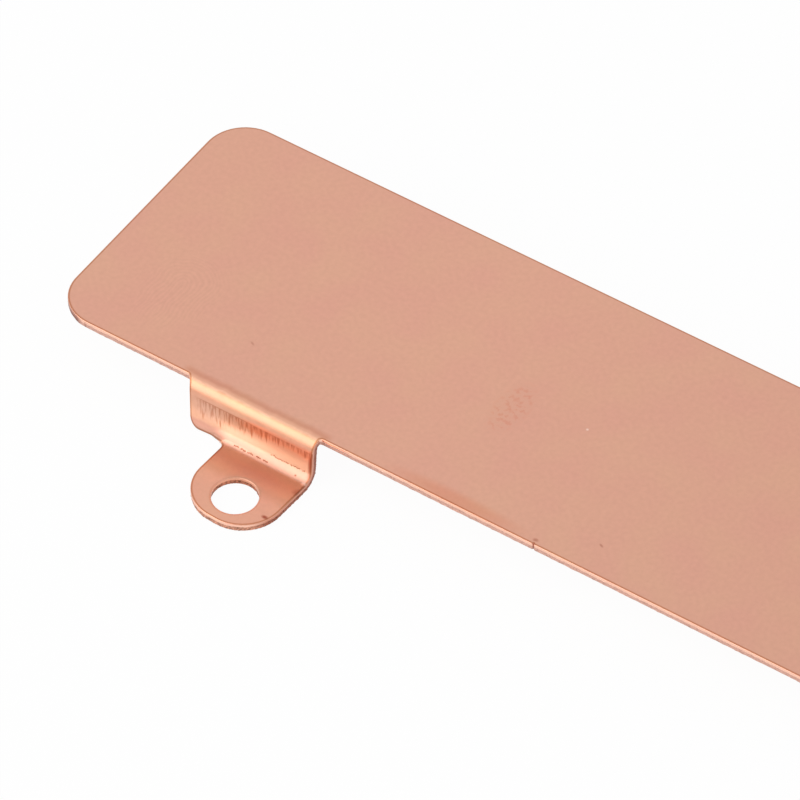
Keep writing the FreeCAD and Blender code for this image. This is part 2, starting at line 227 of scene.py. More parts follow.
right_end = edge_path([
    (INNER_RIGHT, -CORNER_RADIUS, CORNER_RADIUS, 270, 360),
    (INNER_RIGHT, INNER_FAR, CORNER_RADIUS, 360, 450),
], END_POINTS)
left_end = edge_path([
    (INNER_LEFT, INNER_FAR, CORNER_RADIUS, 90, 180),
    (INNER_LEFT, -CORNER_RADIUS, CORNER_RADIUS, 180, 270),
], END_POINTS)
near_edges = [straight(near_left, 0, 270), straight(near_right, 0, 270)]
far_edge = straight(columns[::-1], -PLATE_WIDTH, 90)
sides = [near_edges[0], tab_left, ear_rim, tab_right, near_edges[1], right_end, far_edge, left_end]
outline = np.hstack([side[:, :-1] for side in sides])
outline = np.hstack([outline, outline[:, :1]])


def ear_ring(step, row):
    """The ear's outer edge, moved in by a step, closed by the tab's last row."""
    return np.hstack([row, inset(ear_rim[:, ::-1], step)[:, 1:]])


# The hole as the punch left it: a little under size, and a little nearer the plate.
PUNCH_UNDER, PUNCH_NEARER = 0.015, 0.06
PUNCH_RADIUS = HOLE_RADIUS - PUNCH_UNDER
PUNCH_CENTRE = HOLE_CENTRE - PUNCH_NEARER
tab_shares = np.linspace(0, 1, len(tab_across))
sharp_ring = ear_ring(0, ruled(tab_left[:2, -1:], tab_right[:2, :1], tab_shares)[:, 0])
around = np.arctan2(HOLE_CENTRE - sharp_ring[1], sharp_ring[0] - HOLE_X)
hole_edge = np.array([
    HOLE_X + PUNCH_RADIUS * np.cos(around),
    PUNCH_CENTRE - PUNCH_RADIUS * np.sin(around),
    around + np.pi,
])
EAR_ROWS = 10


def face(step, depth):
    """One face of the sheet, at a depth, its edges moved in by a step: the plate ruled from its
    left end to its right, the tab from its left edge to its right, and the ear from its outer edge
    to the hole."""
    across = (columns - INNER_LEFT) / (INNER_RIGHT - INNER_LEFT)
    plate = ruled(inset(left_end[:, ::-1], step), inset(right_end, step), across)
    tab = ruled(inset(tab_left, step), inset(tab_right[:, ::-1], step), tab_shares)
    rows = np.linspace(0, 1, EAR_ROWS)
    ear = ruled(ear_ring(step, tab[:, -1]), inset(hole_edge, step), rows)
    return [np.stack([*grid, np.full_like(grid[0], depth)], axis=-1) for grid in (plate, tab, ear)]


# Section of the cut edge from the front face to the back: a rounded roll-over, a band that the
# punch rubbed smooth, and the torn rest, which slants in as far as the burr.
ROLL_IN, ROLL_DOWN, ROLL_ROWS = 0.2, 0.05, 9
BURNISHED_HALFWAY, BURNISHED = 0.14, 0.22
TORN_FROM, TORN_TO, TORN_ROWS = 0.27, 0.585, 5
TORN_IN, TORN_FIRST = 0.03, 0.1
TORN_SCATTER = 0.014
BURR_IN = 0.045
roll = np.linspace(0, np.pi / 2, ROLL_ROWS)
roll_steps, roll_depths = ROLL_IN * (1 - np.sin(roll)), ROLL_DOWN * (1 - np.cos(roll))
torn_steps = TORN_IN * np.linspace(TORN_FIRST, 1, TORN_ROWS)
torn_depths = np.linspace(TORN_FROM, TORN_TO, TORN_ROWS)
steps = np.concatenate([roll_steps, [0, 0], torn_steps, [BURR_IN]])
depths = np.concatenate([roll_depths, [BURNISHED_HALFWAY, BURNISHED], torn_depths, [SHEET]])
torn = np.where((depths > BURNISHED) & (depths < SHEET), TORN_SCATTER, 0)
CHANCE_SEED = 5
chance = np.random.default_rng(CHANCE_SEED)


def cut_edge(path):
    """The edge that the press leaves: its section carried along a path, with the torn part
    roughened by chance, never outwards past the burnished band."""
    rough = chance.normal(0, 1, (len(steps), path.shape[1]))
    rough[:, -1] = rough[:, 0]
    along, reach, facing = path
    step = np.maximum(steps[:, None] + torn[:, None] * rough, 0)
    depth = np.broadcast_to(depths[:, None], step.shape)
    return np.stack([along - step * np.cos(facing), reach + step * np.sin(facing), depth], axis=-1)


# Each nick's place along the near edge, its depth, its width and how dark its painted shade is, then
# how far it fades in from the edge and where it ends on the tab. The dent's along, reach, radius and
# depth.
# The waves' lengths and starts, and their height and width on the upper bend.
CORNER_NICK_X = -32.05
NICKS = [(NICK_X, 0.13, 0.06, 0.6), (CORNER_NICK_X, 0.03, 0.09, 0.3)]
NICK_FADE, NICK_END = 0.25, 0.3
DENT = (NICK_X - 0.08, -0.45, 0.2, 0.03)
WAVES = [(3.7, 0.6), (2.3, 2.1), (1.31, 4.4)]
WAVE_HEIGHT, WAVE_WIDTH = 0.006, 0.5


def handled(along, reach, depth):
    """Knocks that the sheet took. A nick pushes the near edge in by a bell curve along it, which
    fades away from the edge. The dent beside it pushes the front face down by a round bell curve.
    Along the upper bend the front face is uneven by a few long waves."""
    near = np.exp(np.minimum(reach, 0) / NICK_FADE) * (reach < NICK_END)
    for nick_along, nick_deep, nick_wide, _ in NICKS:
        reach = reach - nick_deep * np.exp(-((along - nick_along) / nick_wide) ** 2) * near
    front = 1 - depth / SHEET
    dent_along, dent_reach, dent_radius, dent_deep = DENT
    away = ((along - dent_along) ** 2 + (reach - dent_reach) ** 2) / dent_radius ** 2
    waves = sum(np.sin(2 * np.pi * along / length + start) for length, start in WAVES)
    uneven = WAVE_HEIGHT * (1 + waves / len(WAVES))
    bend = np.exp(-((reach - UPPER_LENGTH / 2) / WAVE_WIDTH) ** 2)
    return along, reach, depth + front * (dent_deep * np.exp(-away) + uneven * bend)


# The faces and the roll-over have the rolled finish, and the rest of the edge has the cut one.
front, back = face(ROLL_IN, 0), face(BURR_IN, SHEET)
rim, hole_wall = cut_edge(outline), cut_edge(hole_edge)
ROLLED, CUT = 0, 1
surfaces = [(grid, ROLLED) for grid in front + back]
surfaces += [(band[:ROLL_ROWS], ROLLED) for band in (rim, hole_wall)]
surfaces += [(band[ROLL_ROWS - 1:], CUT) for band in (rim, hole_wall)]

blank = []
quads = []
finishes = []
first = 0
for grid, finish in surfaces:
    index = first + np.arange(grid[..., 0].size).reshape(grid.shape[:2])
    corners = [index[:-1, :-1], index[:-1, 1:], index[1:, 1:], index[1:, :-1]]
    quads.append(np.stack(corners, axis=-1).reshape(-1, 4))
    finishes.append(np.full(len(quads[-1]), finish))
    blank.append(grid.reshape(-1, 3))
    first += index.size
blank = np.concatenate(blank)
points = fold(*handled(*blank.T)) * MM

# Every point keeps its along, reach and depth on the blank, which the finishes follow.
WELD = 0.001
SHARP_ANGLE = 50
mesh = bpy.data.meshes.new("folded_sheet")
mesh.from_pydata(points.tolist(), [], np.concatenate(quads).tolist())
mesh.attributes.new("blank", "FLOAT_VECTOR", "POINT").data.foreach_set("vector", blank.ravel())
mesh.polygons.foreach_set("material_index", np.concatenate(finishes))
joined = bmesh.new()
joined.from_mesh(mesh)
bmesh.ops.remove_doubles(joined, verts=joined.verts, dist=WELD * MM)
bmesh.ops.recalc_face_normals(joined, faces=joined.faces)
joined.to_mesh(mesh)
joined.free()
mesh.shade_smooth()
mesh.set_sharp_from_angle(angle=np.radians(SHARP_ANGLE))
sheet = bpy.data.objects.new("folded_sheet", mesh)
bpy.context.scene.collection.objects.link(sheet)
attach(sheet, "root")
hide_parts("heatsink")


# The sheet's faces: soft copper as it leaves the rolls, bare. They look satin and pale, with a fine
# grain. The folding tool dulled the upper bend and scraped the wall below it, and handling left a
# print, a smudge and a few small marks. Painted shade and painted highlights are worked into the
# colour too, along the bends, on the wall and the ear, and at the edges.

def linear(code):
    """An sRGB hex colour as linear light: each channel from its display curve."""
    channel = np.array([int(code[i:i + 2], 16) for i in (1, 3, 5)]) / 255
    light = np.where(channel <= 0.04045, channel / 12.92, ((channel + 0.055) / 1.055) ** 2.4)
    return (*light, 1)


def add(tree, kind, inputs, out=0, **settings):
    """Adds a node with its settings, sets or links its inputs, and gives back one of its outputs,
    where it has any."""
    node = tree.nodes.new(kind)
    for name, value in settings.items():
        setattr(node, name, value)
    for socket, value in inputs.items():
        if isinstance(value, bpy.types.NodeSocket):
            tree.links.new(value, node.inputs[socket])
        else:
            node.inputs[socket].default_value = value
    return node.outputs[out] if node.outputs else None


def new_material(name):
    """An empty material with its node tree."""
    material = bpy.data.materials.new(name)
    material.use_nodes = True
    material.node_tree.nodes.clear()
    return material, material.node_tree


# A mix of colours takes them at inputs 6 and 7 and gives output 2. A noise's detail is soft or
# fine, and its values lie mostly between a low and a high one.
BLENDED = {"out": 2, "data_type": "RGBA"}
TINTED = {**BLENDED, "blend_type": "MULTIPLY"}
EASED = {"interpolation_type": "SMOOTHSTEP"}
LENGTHWISE = {"noise_dimensions": "1D"}
SOFT, FINE = 1.0, 2.0
NOISE_LOW, NOISE_HIGH = 0.3, 0.7

rolled, tree = new_material("rolled_copper_sheet")
mesh.materials.append(rolled)
place = add(tree, "ShaderNodeAttribute", {}, out="Vector", attribute_name="blank")
along, reach, depth = add(tree, "ShaderNodeSeparateXYZ", {0: place}).node.outputs

# Colour and roughness by reach: plain on the plate; a line of painted shade and a paler line of
# painted highlight where the upper bend starts; rougher over that bend and down the wall, which is
# paler, partly rubbed bright and partly painted reflection; and painted shade on the ear beside the
# lower bend, deepest at its foot and fading out towards the hole. Along the tab they wander a little.
FINISH_AND_PAINTED_LIGHT = [
    (-0.80, "#DBA58F", 0.36), (-0.30, "#D1957C", 0.36), (0.00, "#E2AA8E", 0.38),
    (0.16, "#F1BC9D", 0.40), (0.36, "#DFA582", 0.42), (0.60, "#D89E81", 0.45),
    (0.84, "#D69C7E", 0.45), (1.20, "#E6AC90", 0.46), (2.10, "#EAAF91", 0.45),
    (3.30, "#ECB495", 0.45), (3.70, "#D49B86", 0.42), (4.10, "#D09B86", 0.40),
    (4.45, "#BA9582", 0.38), (5.20, "#BF917D", 0.38), (6.20, "#D09B81", 0.37),
    (7.20, "#E2A88F", 0.36),
]
RAMP_START, RAMP_STOP = FINISH_AND_PAINTED_LIGHT[0][0], FINISH_AND_PAINTED_LIGHT[-1][0]
WANDER, WANDER_LENGTH = 0.1, 1.1
drift = add(tree, "ShaderNodeTexNoise", {"W": along, "Scale": 1 / WANDER_LENGTH, "Detail": SOFT},
            **LENGTHWISE)
drift = add(tree, "ShaderNodeMapRange", {"Value": drift, "To Min": -WANDER, "To Max": WANDER})
drifted = add(tree, "ShaderNodeMath", {0: reach, 1: drift}, operation="ADD")
share = add(tree, "ShaderNodeMapRange",
            {"Value": drifted, "From Min": RAMP_START, "From Max": RAMP_STOP})
colour = add(tree, "ShaderNodeValToRGB", {"Fac": share}, out="Color")
roughness = colour.node.outputs["Alpha"]
ramp = colour.node.color_ramp
ramp.interpolation = "EASE"
ramp.elements.remove(ramp.elements[1])
for stop, (at, code, rough) in enumerate(FINISH_AND_PAINTED_LIGHT):
    position = (at - RAMP_START) / (RAMP_STOP - RAMP_START)
    element = ramp.elements.new(position) if stop else ramp.elements[0]
    element.color = (*linear(code)[:3], rough)

# Beside the tab the plate is plain up to its near edge, and the back is plain all over.
PLAIN = linear(FINISH_AND_PAINTED_LIGHT[0][1])
TAB_MIDDLE, TAB_HALF = (ROOT_LEFT + ROOT_RIGHT) / 2, (ROOT_RIGHT - ROOT_LEFT) / 2
BESIDE_TAB = 0.7
BACK_FROM, BACK_FULL = 0.2, 0.4
from_middle = add(tree, "ShaderNodeMath", {0: along, 1: TAB_MIDDLE}, operation="SUBTRACT")
from_middle = add(tree, "ShaderNodeMath", {0: from_middle}, operation="ABSOLUTE")
folded = add(tree, "ShaderNodeMapRange", {"Value": from_middle, "From Min": TAB_HALF + BESIDE_TAB,
                                          "From Max": TAB_HALF}, **EASED)
colour = add(tree, "ShaderNodeMix", {0: folded, 6: PLAIN, 7: colour}, **BLENDED)
behind = add(tree, "ShaderNodeMapRange",
             {"Value": depth, "From Min": BACK_FROM, "From Max": BACK_FULL})
colour = add(tree, "ShaderNodeMix", {0: behind, 6: colour, 7: PLAIN}, **BLENDED)

# Where the edges start to roll over, a line of painted shade runs round the front face, and a fainter
# one round the hole. It comes and goes between these depths.
ROLL_LINE_SHADE = linear("#DCC6B2")
LINE_START, LINE_FULL, LINE_FADE, LINE_END = 0.0003, 0.005, 0.015, 0.03
HOLE_LINE, HOLE_LINE_WIDE = 0.3, 0.6
line_starts = add(tree, "ShaderNodeMapRange",
                  {"Value": depth, "From Min": LINE_START, "From Max": LINE_FULL})
line_ends = add(tree, "ShaderNodeMapRange",
                {"Value": depth, "From Min": LINE_FADE, "From Max": LINE_END})
roll_line_shade = add(tree, "ShaderNodeMath", {0: line_starts, 1: line_ends}, operation="SUBTRACT",
                  use_clamp=True)
from_hole = add(tree, "ShaderNodeVectorMath", {0: place, 1: (HOLE_X, PUNCH_CENTRE, 0)}, out="Value",
                operation="DISTANCE")
off_hole = add(tree, "ShaderNodeMapRange", {"Value": from_hole, "From Min": PUNCH_RADIUS + ROLL_IN,
                                            "From Max": PUNCH_RADIUS + HOLE_LINE_WIDE,
                                            "To Min": HOLE_LINE})
roll_line_shade = add(tree, "ShaderNodeMath", {0: roll_line_shade, 1: off_hole}, operation="MULTIPLY")
colour = add(tree, "ShaderNodeMix", {0: roll_line_shade, 6: colour, 7: ROLL_LINE_SHADE}, **TINTED)

# Scrapes from the folding tool: they start on one line across the wall, a little in from its left
# side, and run down it with ragged ends, long on the left and short on the right.
SCRAPED = linear("#DCC0AE")
SCRAPE_TOP, SCRAPE_TOP_SOFT, SCRAPE_END_SOFT = 1.40, 0.05, 0.35
SCRAPE_LEFT_FROM, SCRAPE_LEFT_FULL = -22.4, -21.6
SCRAPE_LONG, SCRAPE_SHORT = 3.05, 1.85
LONG_UNTIL, SHORT_FROM = -20.0, -15.0
RAGGED_WIDTH, RAGGED_UP, RAGGED_DOWN = 0.2, -0.45, 0.4
scrape_end = add(tree, "ShaderNodeMapRange", {"Value": along, "From Min": LONG_UNTIL,
                                              "From Max": SHORT_FROM, "To Min": SCRAPE_LONG,
                                              "To Max": SCRAPE_SHORT})
ragged = add(tree, "ShaderNodeTexNoise", {"W": along, "Scale": 1 / RAGGED_WIDTH, "Detail": SOFT},
             **LENGTHWISE)
ragged = add(tree, "ShaderNodeMapRange", {"Value": ragged, "From Min": NOISE_LOW,
                                          "From Max": NOISE_HIGH, "To Min": RAGGED_UP,
                                          "To Max": RAGGED_DOWN})
scrape_end = add(tree, "ShaderNodeMath", {0: scrape_end, 1: ragged}, operation="ADD")
above_end = add(tree, "ShaderNodeMath", {0: scrape_end, 1: reach}, operation="SUBTRACT")
above_end = add(tree, "ShaderNodeMapRange",
                {"Value": above_end, "From Min": 0.0, "From Max": SCRAPE_END_SOFT})
below_top = add(tree, "ShaderNodeMapRange",
                {"Value": reach, "From Min": SCRAPE_TOP - SCRAPE_TOP_SOFT,
                 "From Max": SCRAPE_TOP + SCRAPE_TOP_SOFT})
past_left = add(tree, "ShaderNodeMapRange",
                {"Value": along, "From Min": SCRAPE_LEFT_FROM, "From Max": SCRAPE_LEFT_FULL})
scraped = add(tree, "ShaderNodeMath", {0: below_top, 1: above_end}, operation="MULTIPLY")
scraped = add(tree, "ShaderNodeMath", {0: scraped, 1: past_left}, operation="MULTIPLY")

# Within them are streaks, with almost clean metal between those on the left, and less of it on the
# right.
STREAK_WIDTH, STREAK_LENGTH, STREAK_DETAIL = 0.2, 1.8, 2.5
STREAK_LOW, STREAK_HIGH = 0.47, 0.6
CLEAN_UNTIL, RUBBED_FROM = -20.5, -16.0
CLEAN, RUBBED = 0.1, 0.6
streak_place = add(tree, "ShaderNodeVectorMath",
                   {0: place, 1: (1 / STREAK_WIDTH, 1 / STREAK_LENGTH, 1)}, operation="MULTIPLY")
streaks = add(tree, "ShaderNodeTexNoise",
              {"Vector": streak_place, "Scale": 1.0, "Detail": STREAK_DETAIL},
              noise_dimensions="2D")
streaks = add(tree, "ShaderNodeMapRange",
              {"Value": streaks, "From Min": STREAK_LOW, "From Max": STREAK_HIGH})
between = add(tree, "ShaderNodeMapRange", {"Value": along, "From Min": CLEAN_UNTIL,
                                           "From Max": RUBBED_FROM, "To Min": CLEAN,
                                           "To Max": RUBBED})
grooves = add(tree, "ShaderNodeMapRange", {"Value": streaks, "To Min": between, "To Max": 1.0})
grooves = add(tree, "ShaderNodeMath", {0: scraped, 1: grooves}, operation="MULTIPLY")

# The tool's edge marked the line where the scrapes start, which fades towards the right.
WITNESS_HALF, WITNESS_CORE, WITNESS_DARK = 0.07, 0.02, 0.8
WITNESS_END, WITNESS_FULL = -16.5, -18.5
witness = add(tree, "ShaderNodeMath", {0: reach, 1: SCRAPE_TOP}, operation="SUBTRACT")
witness = add(tree, "ShaderNodeMath", {0: witness}, operation="ABSOLUTE")
witness_dark = add(tree, "ShaderNodeMapRange", {"Value": along, "From Min": WITNESS_END,
                                                "From Max": WITNESS_FULL, "To Max": WITNESS_DARK})
witness_dark = add(tree, "ShaderNodeMath", {0: witness_dark, 1: past_left}, operation="MULTIPLY")
witness = add(tree, "ShaderNodeMapRange", {"Value": witness, "From Min": WITNESS_HALF,
                                           "From Max": WITNESS_CORE, "To Max": witness_dark})
grooves = add(tree, "ShaderNodeMath", {0: grooves, 1: witness}, operation="MAXIMUM")
grooves = add(tree, "ShaderNodeMath", {0: grooves, 1: behind}, operation="SUBTRACT", use_clamp=True)
colour = add(tree, "ShaderNodeMix", {0: grooves, 6: colour, 7: SCRAPED}, **TINTED)

# Small marks and patches of painted shade and painted highlight, each an oval: along and reach of its
# middle, half its length and half its width, the angle it lies at, and how much of the mark's colour
# shows. Each fades from its core to its rim.
DARK, BRIGHT, WARM = linear("#BC8F82"), linear("#FBE3D6"), linear("#FCEDE4")
DARK_MARKS_AND_SHADE = [
    (-13.40, 1.80, 0.60, 0.40, 0, 0.3),            # shade at the wall's right end
    (-12.92, 2.60, 1.80, 0.24, 90 + LEAN, 0.9),    # painted shade down the tab's right side
    (-13.93, 4.01, 0.13, 0.11, 0, 0.8),            # pit at the lower bend's right end
    (-13.04, 5.18, 0.45, 0.40, 0, 0.4),            # stain at the ear's root
    (-13.56, 8.22, 0.36, 0.22, 0, 1.0),            # spot near the ear's tip
    (-21.41, -4.67, 0.30, 0.12, 25, 0.35),         # scratches on the plate
    (8.26, -2.42, 0.28, 0.12, 25, 0.5),
    (NICK_X - 0.05, -0.42, 0.30, 0.22, 0, 0.55),   # painted shade in the dent and the nick
    (NICK_X, 0.0, 0.16, 0.16, 0, 0.7),
]
SPECK_AND_PAINTED_HIGHLIGHTS = [
    (1.79, -10.69, 0.14, 0.14, 0, 0.6),            # speck on the plate
    (-13.08, 4.32, 0.30, 0.20, 0, 0.4),            # painted glint at the lower bend's right end
    (-21.30, 2.20, 1.80, 1.20, 0, 0.13),           # painted reflection: paler left end of the wall
]
WARM_MARKS = [
    (-2.0, -0.5, 6.8, 0.9, 0, 1.0),                # stretch of the plate's near edge
    (-15.6, 2.2, 5.0, 1.6, 0, 0.85),               # the wall
]
MARK_DEPTH = 0.3
MARK_RIM, MARK_CORE = 1.0, 0.2
for marks, tint, blend in ((DARK_MARKS_AND_SHADE, DARK, TINTED), (SPECK_AND_PAINTED_HIGHLIGHTS, BRIGHT, BLENDED),
                           (WARM_MARKS, WARM, TINTED)):
    for mark_along, mark_reach, half_length, half_width, angle, strength in marks:
        oval = add(tree, "ShaderNodeMapping", {
            "Vector": place, "Location": (mark_along, mark_reach, 0),
            "Rotation": (0, 0, np.radians(angle)), "Scale": (half_length, half_width, MARK_DEPTH),
        }, vector_type="TEXTURE")
        away = add(tree, "ShaderNodeVectorMath", {0: oval}, out="Value", operation="LENGTH")
        mark = add(tree, "ShaderNodeMapRange", {"Value": away, "From Min": MARK_RIM,
                                                "From Max": MARK_CORE, "To Max": strength}, **EASED)
        colour = add(tree, "ShaderNodeMix", {0: mark, 6: colour, 7: tint}, **blend)

# Pits in the lower bend: two broken rows of short wavering dashes, the left one lower and the right
# one higher.
PITTED = linear("#B49786")
PIT_MIDDLE, PIT_HALF = -16.15, 2.8
PIT_LEFT_ROW, PIT_RIGHT_ROW = 4.04, 3.46
PIT_WAVER, WAVER_LENGTH, WAVER_DETAIL = 0.3, 0.35, 3.0
PIT_THIN, PIT_THICK, PIT_CORE, THICKNESS_LENGTH = 0.03, 0.12, 0.01, 0.1
DASH_LENGTH, DASH_LOW, DASH_HIGH = 0.3, 0.32, 0.46
on_right_row = add(tree, "ShaderNodeMath", {0: along, 1: PIT_MIDDLE}, operation="GREATER_THAN")
pit_row = add(tree, "ShaderNodeMapRange",
              {"Value": on_right_row, "To Min": PIT_LEFT_ROW - PIT_WAVER / 2,
               "To Max": PIT_RIGHT_ROW - PIT_WAVER / 2})
waver = add(tree, "ShaderNodeTexNoise",
            {"W": along, "Scale": 1 / WAVER_LENGTH, "Detail": WAVER_DETAIL}, **LENGTHWISE)
pit_row = add(tree, "ShaderNodeMath", {0: waver, 1: PIT_WAVER, 2: pit_row},
              operation="MULTIPLY_ADD")
pit_away = add(tree, "ShaderNodeMath", {0: reach, 1: pit_row}, operation="SUBTRACT")
pit_away = add(tree, "ShaderNodeMath", {0: pit_away}, operation="ABSOLUTE")
pit_width = add(tree, "ShaderNodeTexNoise",
                {"W": along, "Scale": 1 / THICKNESS_LENGTH, "Detail": SOFT}, **LENGTHWISE)
pit_width = add(tree, "ShaderNodeMapRange", {"Value": pit_width, "From Min": NOISE_LOW,
                                             "From Max": NOISE_HIGH, "To Min": PIT_THIN,
                                             "To Max": PIT_THICK})
pit_line = add(tree, "ShaderNodeMapRange",
               {"Value": pit_away, "From Min": pit_width, "From Max": PIT_CORE})
pit_dash = add(tree, "ShaderNodeTexNoise", {"W": along, "Scale": 1 / DASH_LENGTH, "Detail": 0.0},
               **LENGTHWISE)
pit_dash = add(tree, "ShaderNodeMapRange",
               {"Value": pit_dash, "From Min": DASH_LOW, "From Max": DASH_HIGH})
pit_span = add(tree, "ShaderNodeMath", {0: along, 1: PIT_MIDDLE, 2: PIT_HALF}, operation="COMPARE")
pits = add(tree, "ShaderNodeMath", {0: pit_line, 1: pit_dash}, operation="MULTIPLY")
pits = add(tree, "ShaderNodeMath", {0: pits, 1: pit_span}, operation="MULTIPLY")
pits = add(tree, "ShaderNodeMath", {0: pits, 1: behind}, operation="SUBTRACT", use_clamp=True)
colour = add(tree, "ShaderNodeMix", {0: pits, 6: colour, 7: PITTED}, **TINTED)

# A faint print near the left end: fine ridges that run across the plate from its near edge, turn
# round a core and run back. The ridges are evenly spaced from the line that ends at the core, so
# past it, towards the near edge, only the distance along the plate counts.
RIDGE = 0.3
PRINT_CORE, PRINT_MIDDLE = (-28.65, -6.8, 0), (-28.3, -6.0, 0)
PRINT_SIZE = (3.6, 4.9, 0.3)
PRINT_RIM, PRINT_FULL = 1.0, 0.4
BEND_LENGTH, BEND_OUT = 2.2, 0.9
PAST_CORE = (100, 0, 0)
print_away = add(tree, "ShaderNodeMapping", {"Vector": place, "Location": PRINT_MIDDLE,
                                             "Scale": PRINT_SIZE}, vector_type="TEXTURE")
print_away = add(tree, "ShaderNodeVectorMath", {0: print_away}, out="Value", operation="LENGTH")
print_mask = add(tree, "ShaderNodeMapRange",
                 {"Value": print_away, "From Min": PRINT_RIM, "From Max": PRINT_FULL}, **EASED)
from_core = add(tree, "ShaderNodeVectorMath", {0: place, 1: PRINT_CORE}, operation="SUBTRACT")
from_core = add(tree, "ShaderNodeVectorMath", {0: from_core, 1: PAST_CORE}, operation="MINIMUM")
from_core = add(tree, "ShaderNodeVectorMath", {0: from_core}, out="Value", operation="LENGTH")
ridges = add(tree, "ShaderNodeTexNoise",
             {"Vector": place, "Scale": 1 / BEND_LENGTH, "Detail": SOFT})
ridges = add(tree, "ShaderNodeMath", {0: ridges, 1: BEND_OUT, 2: from_core},
             operation="MULTIPLY_ADD")
ridges = add(tree, "ShaderNodeMath", {0: ridges, 1: 2 * np.pi / RIDGE}, operation="MULTIPLY")
ridges = add(tree, "ShaderNodeMath", {0: ridges}, operation="SINE")
ridges = add(tree, "ShaderNodeMath", {0: ridges, 1: print_mask}, operation="MULTIPLY")

# A dry smudge in the middle: reddish flecks in a patch that lies across the plate.
FLECKED = linear("#F9EBE7")
FLECK, FLECK_LOW, FLECK_HIGH = 0.35, 0.48, 0.64
SMUDGE_MIDDLE, SMUDGE_SIZE = (-3.5, -9.5, 0), (1.5, 3.0, 0.3)
SMUDGE_RIM, SMUDGE_FULL = 1.0, 0.5
smudge_away = add(tree, "ShaderNodeMapping", {"Vector": place, "Location": SMUDGE_MIDDLE,
                                              "Scale": SMUDGE_SIZE}, vector_type="TEXTURE")
smudge_away = add(tree, "ShaderNodeVectorMath", {0: smudge_away}, out="Value", operation="LENGTH")
smudge = add(tree, "ShaderNodeMapRange",
             {"Value": smudge_away, "From Min": SMUDGE_RIM, "From Max": SMUDGE_FULL}, **EASED)
flecks = add(tree, "ShaderNodeTexNoise", {"Vector": place, "Scale": 1 / FLECK, "Detail": FINE})
flecks = add(tree, "ShaderNodeMapRange",
             {"Value": flecks, "From Min": FLECK_LOW, "From Max": FLECK_HIGH})
flecks = add(tree, "ShaderNodeMath", {0: flecks, 1: smudge}, operation="MULTIPLY")
colour = add(tree, "ShaderNodeMix", {0: flecks, 6: colour, 7: FLECKED}, **TINTED)

# Tone: fine grain, with the print's ridges, a little darker towards the right end, and broad clouds
# of another hue. The real grain is finer, and is drawn as coarse as it needs to show.
GRAIN, GRAIN_LOW, GRAIN_HIGH, GRAIN_TONE = 0.35, 0.25, 0.75, 0.03
RIDGE_TONE = 0.02
DARKER_FROM, DARKER_FULL, DARKER_TONE = -8.0, 26.0, 0.95
CLOUD, SAME_HUE, HUE_CHANGE = 4.0, 0.5, 0.0035
grain = add(tree, "ShaderNodeTexNoise", {"Vector": place, "Scale": 1 / GRAIN, "Detail": FINE})
tone = add(tree, "ShaderNodeMapRange", {"Value": grain, "From Min": GRAIN_LOW,
                                        "From Max": GRAIN_HIGH, "To Min": 1 - GRAIN_TONE,
                                        "To Max": 1 + GRAIN_TONE})
tone = add(tree, "ShaderNodeMath", {0: ridges, 1: RIDGE_TONE, 2: tone}, operation="MULTIPLY_ADD")
darkening = add(tree, "ShaderNodeMapRange", {"Value": along, "From Min": DARKER_FROM,
                                            "From Max": DARKER_FULL, "To Min": 1.0,
                                            "To Max": DARKER_TONE})
tone = add(tree, "ShaderNodeMath", {0: tone, 1: darkening}, operation="MULTIPLY")
colour = add(tree, "ShaderNodeVectorMath", {0: colour, "Scale": tone}, operation="SCALE")
hue = add(tree, "ShaderNodeTexNoise", {"Vector": place, "Scale": 1 / CLOUD, "Detail": SOFT})
hue = add(tree, "ShaderNodeMapRange", {"Value": hue, "From Min": NOISE_LOW, "From Max": NOISE_HIGH,
                                       "To Min": SAME_HUE - HUE_CHANGE,
                                       "To Max": SAME_HUE + HUE_CHANGE})
colour = add(tree, "ShaderNodeHueSaturation", {"Hue": hue, "Color": colour})

# The scrapes are rougher than the wall between them.
SCRAPE_ROUGHER = 0.1
roughness = add(tree, "ShaderNodeMath", {0: grooves, 1: SCRAPE_ROUGHER, 2: roughness},
                operation="MULTIPLY_ADD")

# Relief in millimetres: the foot of the wall, which eases out into the lower bend and most of all
# in the middle, the grain that makes the faces satin, and shallow grooves and pits.
FOOT_FROM, FOOT_TO = 1.85, 4.2
FOOT_LEFT, FOOT_MIDDLE, FOOT_RIGHT = 0.72, 1.05, 0.72
FOOT_LEFT_UNTIL, FOOT_MIDDLE_FROM, FOOT_MIDDLE_UNTIL, FOOT_RIGHT_FROM = -21.6, -19.4, -18.0, -13.0
GRAIN_RELIEF, GROOVE_RELIEF, PIT_RELIEF = 0.0025, -0.012, -0.008
foot_left = add(tree, "ShaderNodeMapRange", {"Value": along, "From Min": FOOT_LEFT_UNTIL,
                                             "From Max": FOOT_MIDDLE_FROM, "To Min": FOOT_LEFT,
                                             "To Max": FOOT_MIDDLE}, **EASED)
foot_right = add(tree, "ShaderNodeMapRange", {"Value": along, "From Min": FOOT_MIDDLE_UNTIL,
                                              "From Max": FOOT_RIGHT_FROM, "To Min": FOOT_MIDDLE,
                                              "To Max": FOOT_RIGHT})
foot_out = add(tree, "ShaderNodeMath", {0: foot_left, 1: foot_right}, operation="MINIMUM")
foot = add(tree, "ShaderNodeMapRange", {"Value": reach, "From Min": FOOT_FROM, "From Max": FOOT_TO,
                                        "To Max": foot_out}, **EASED)
relief = add(tree, "ShaderNodeMath", {0: foot, 1: behind}, operation="SUBTRACT", use_clamp=True)
for pattern, height in ((grain, GRAIN_RELIEF), (grooves, GROOVE_RELIEF), (pits, PIT_RELIEF)):
    relief = add(tree, "ShaderNodeMath", {0: pattern, 1: height, 2: relief},
                 operation="MULTIPLY_ADD")
normal = add(tree, "ShaderNodeBump", {"Height": relief, "Distance": MM, "Strength": 1.0})
copper = add(tree, "ShaderNodeBsdfPrincipled", {"Base Color": colour, "Metallic": 1,
                                                "Roughness": roughness, "Normal": normal})
add(tree, "ShaderNodeOutputMaterial", {"Surface": copper})
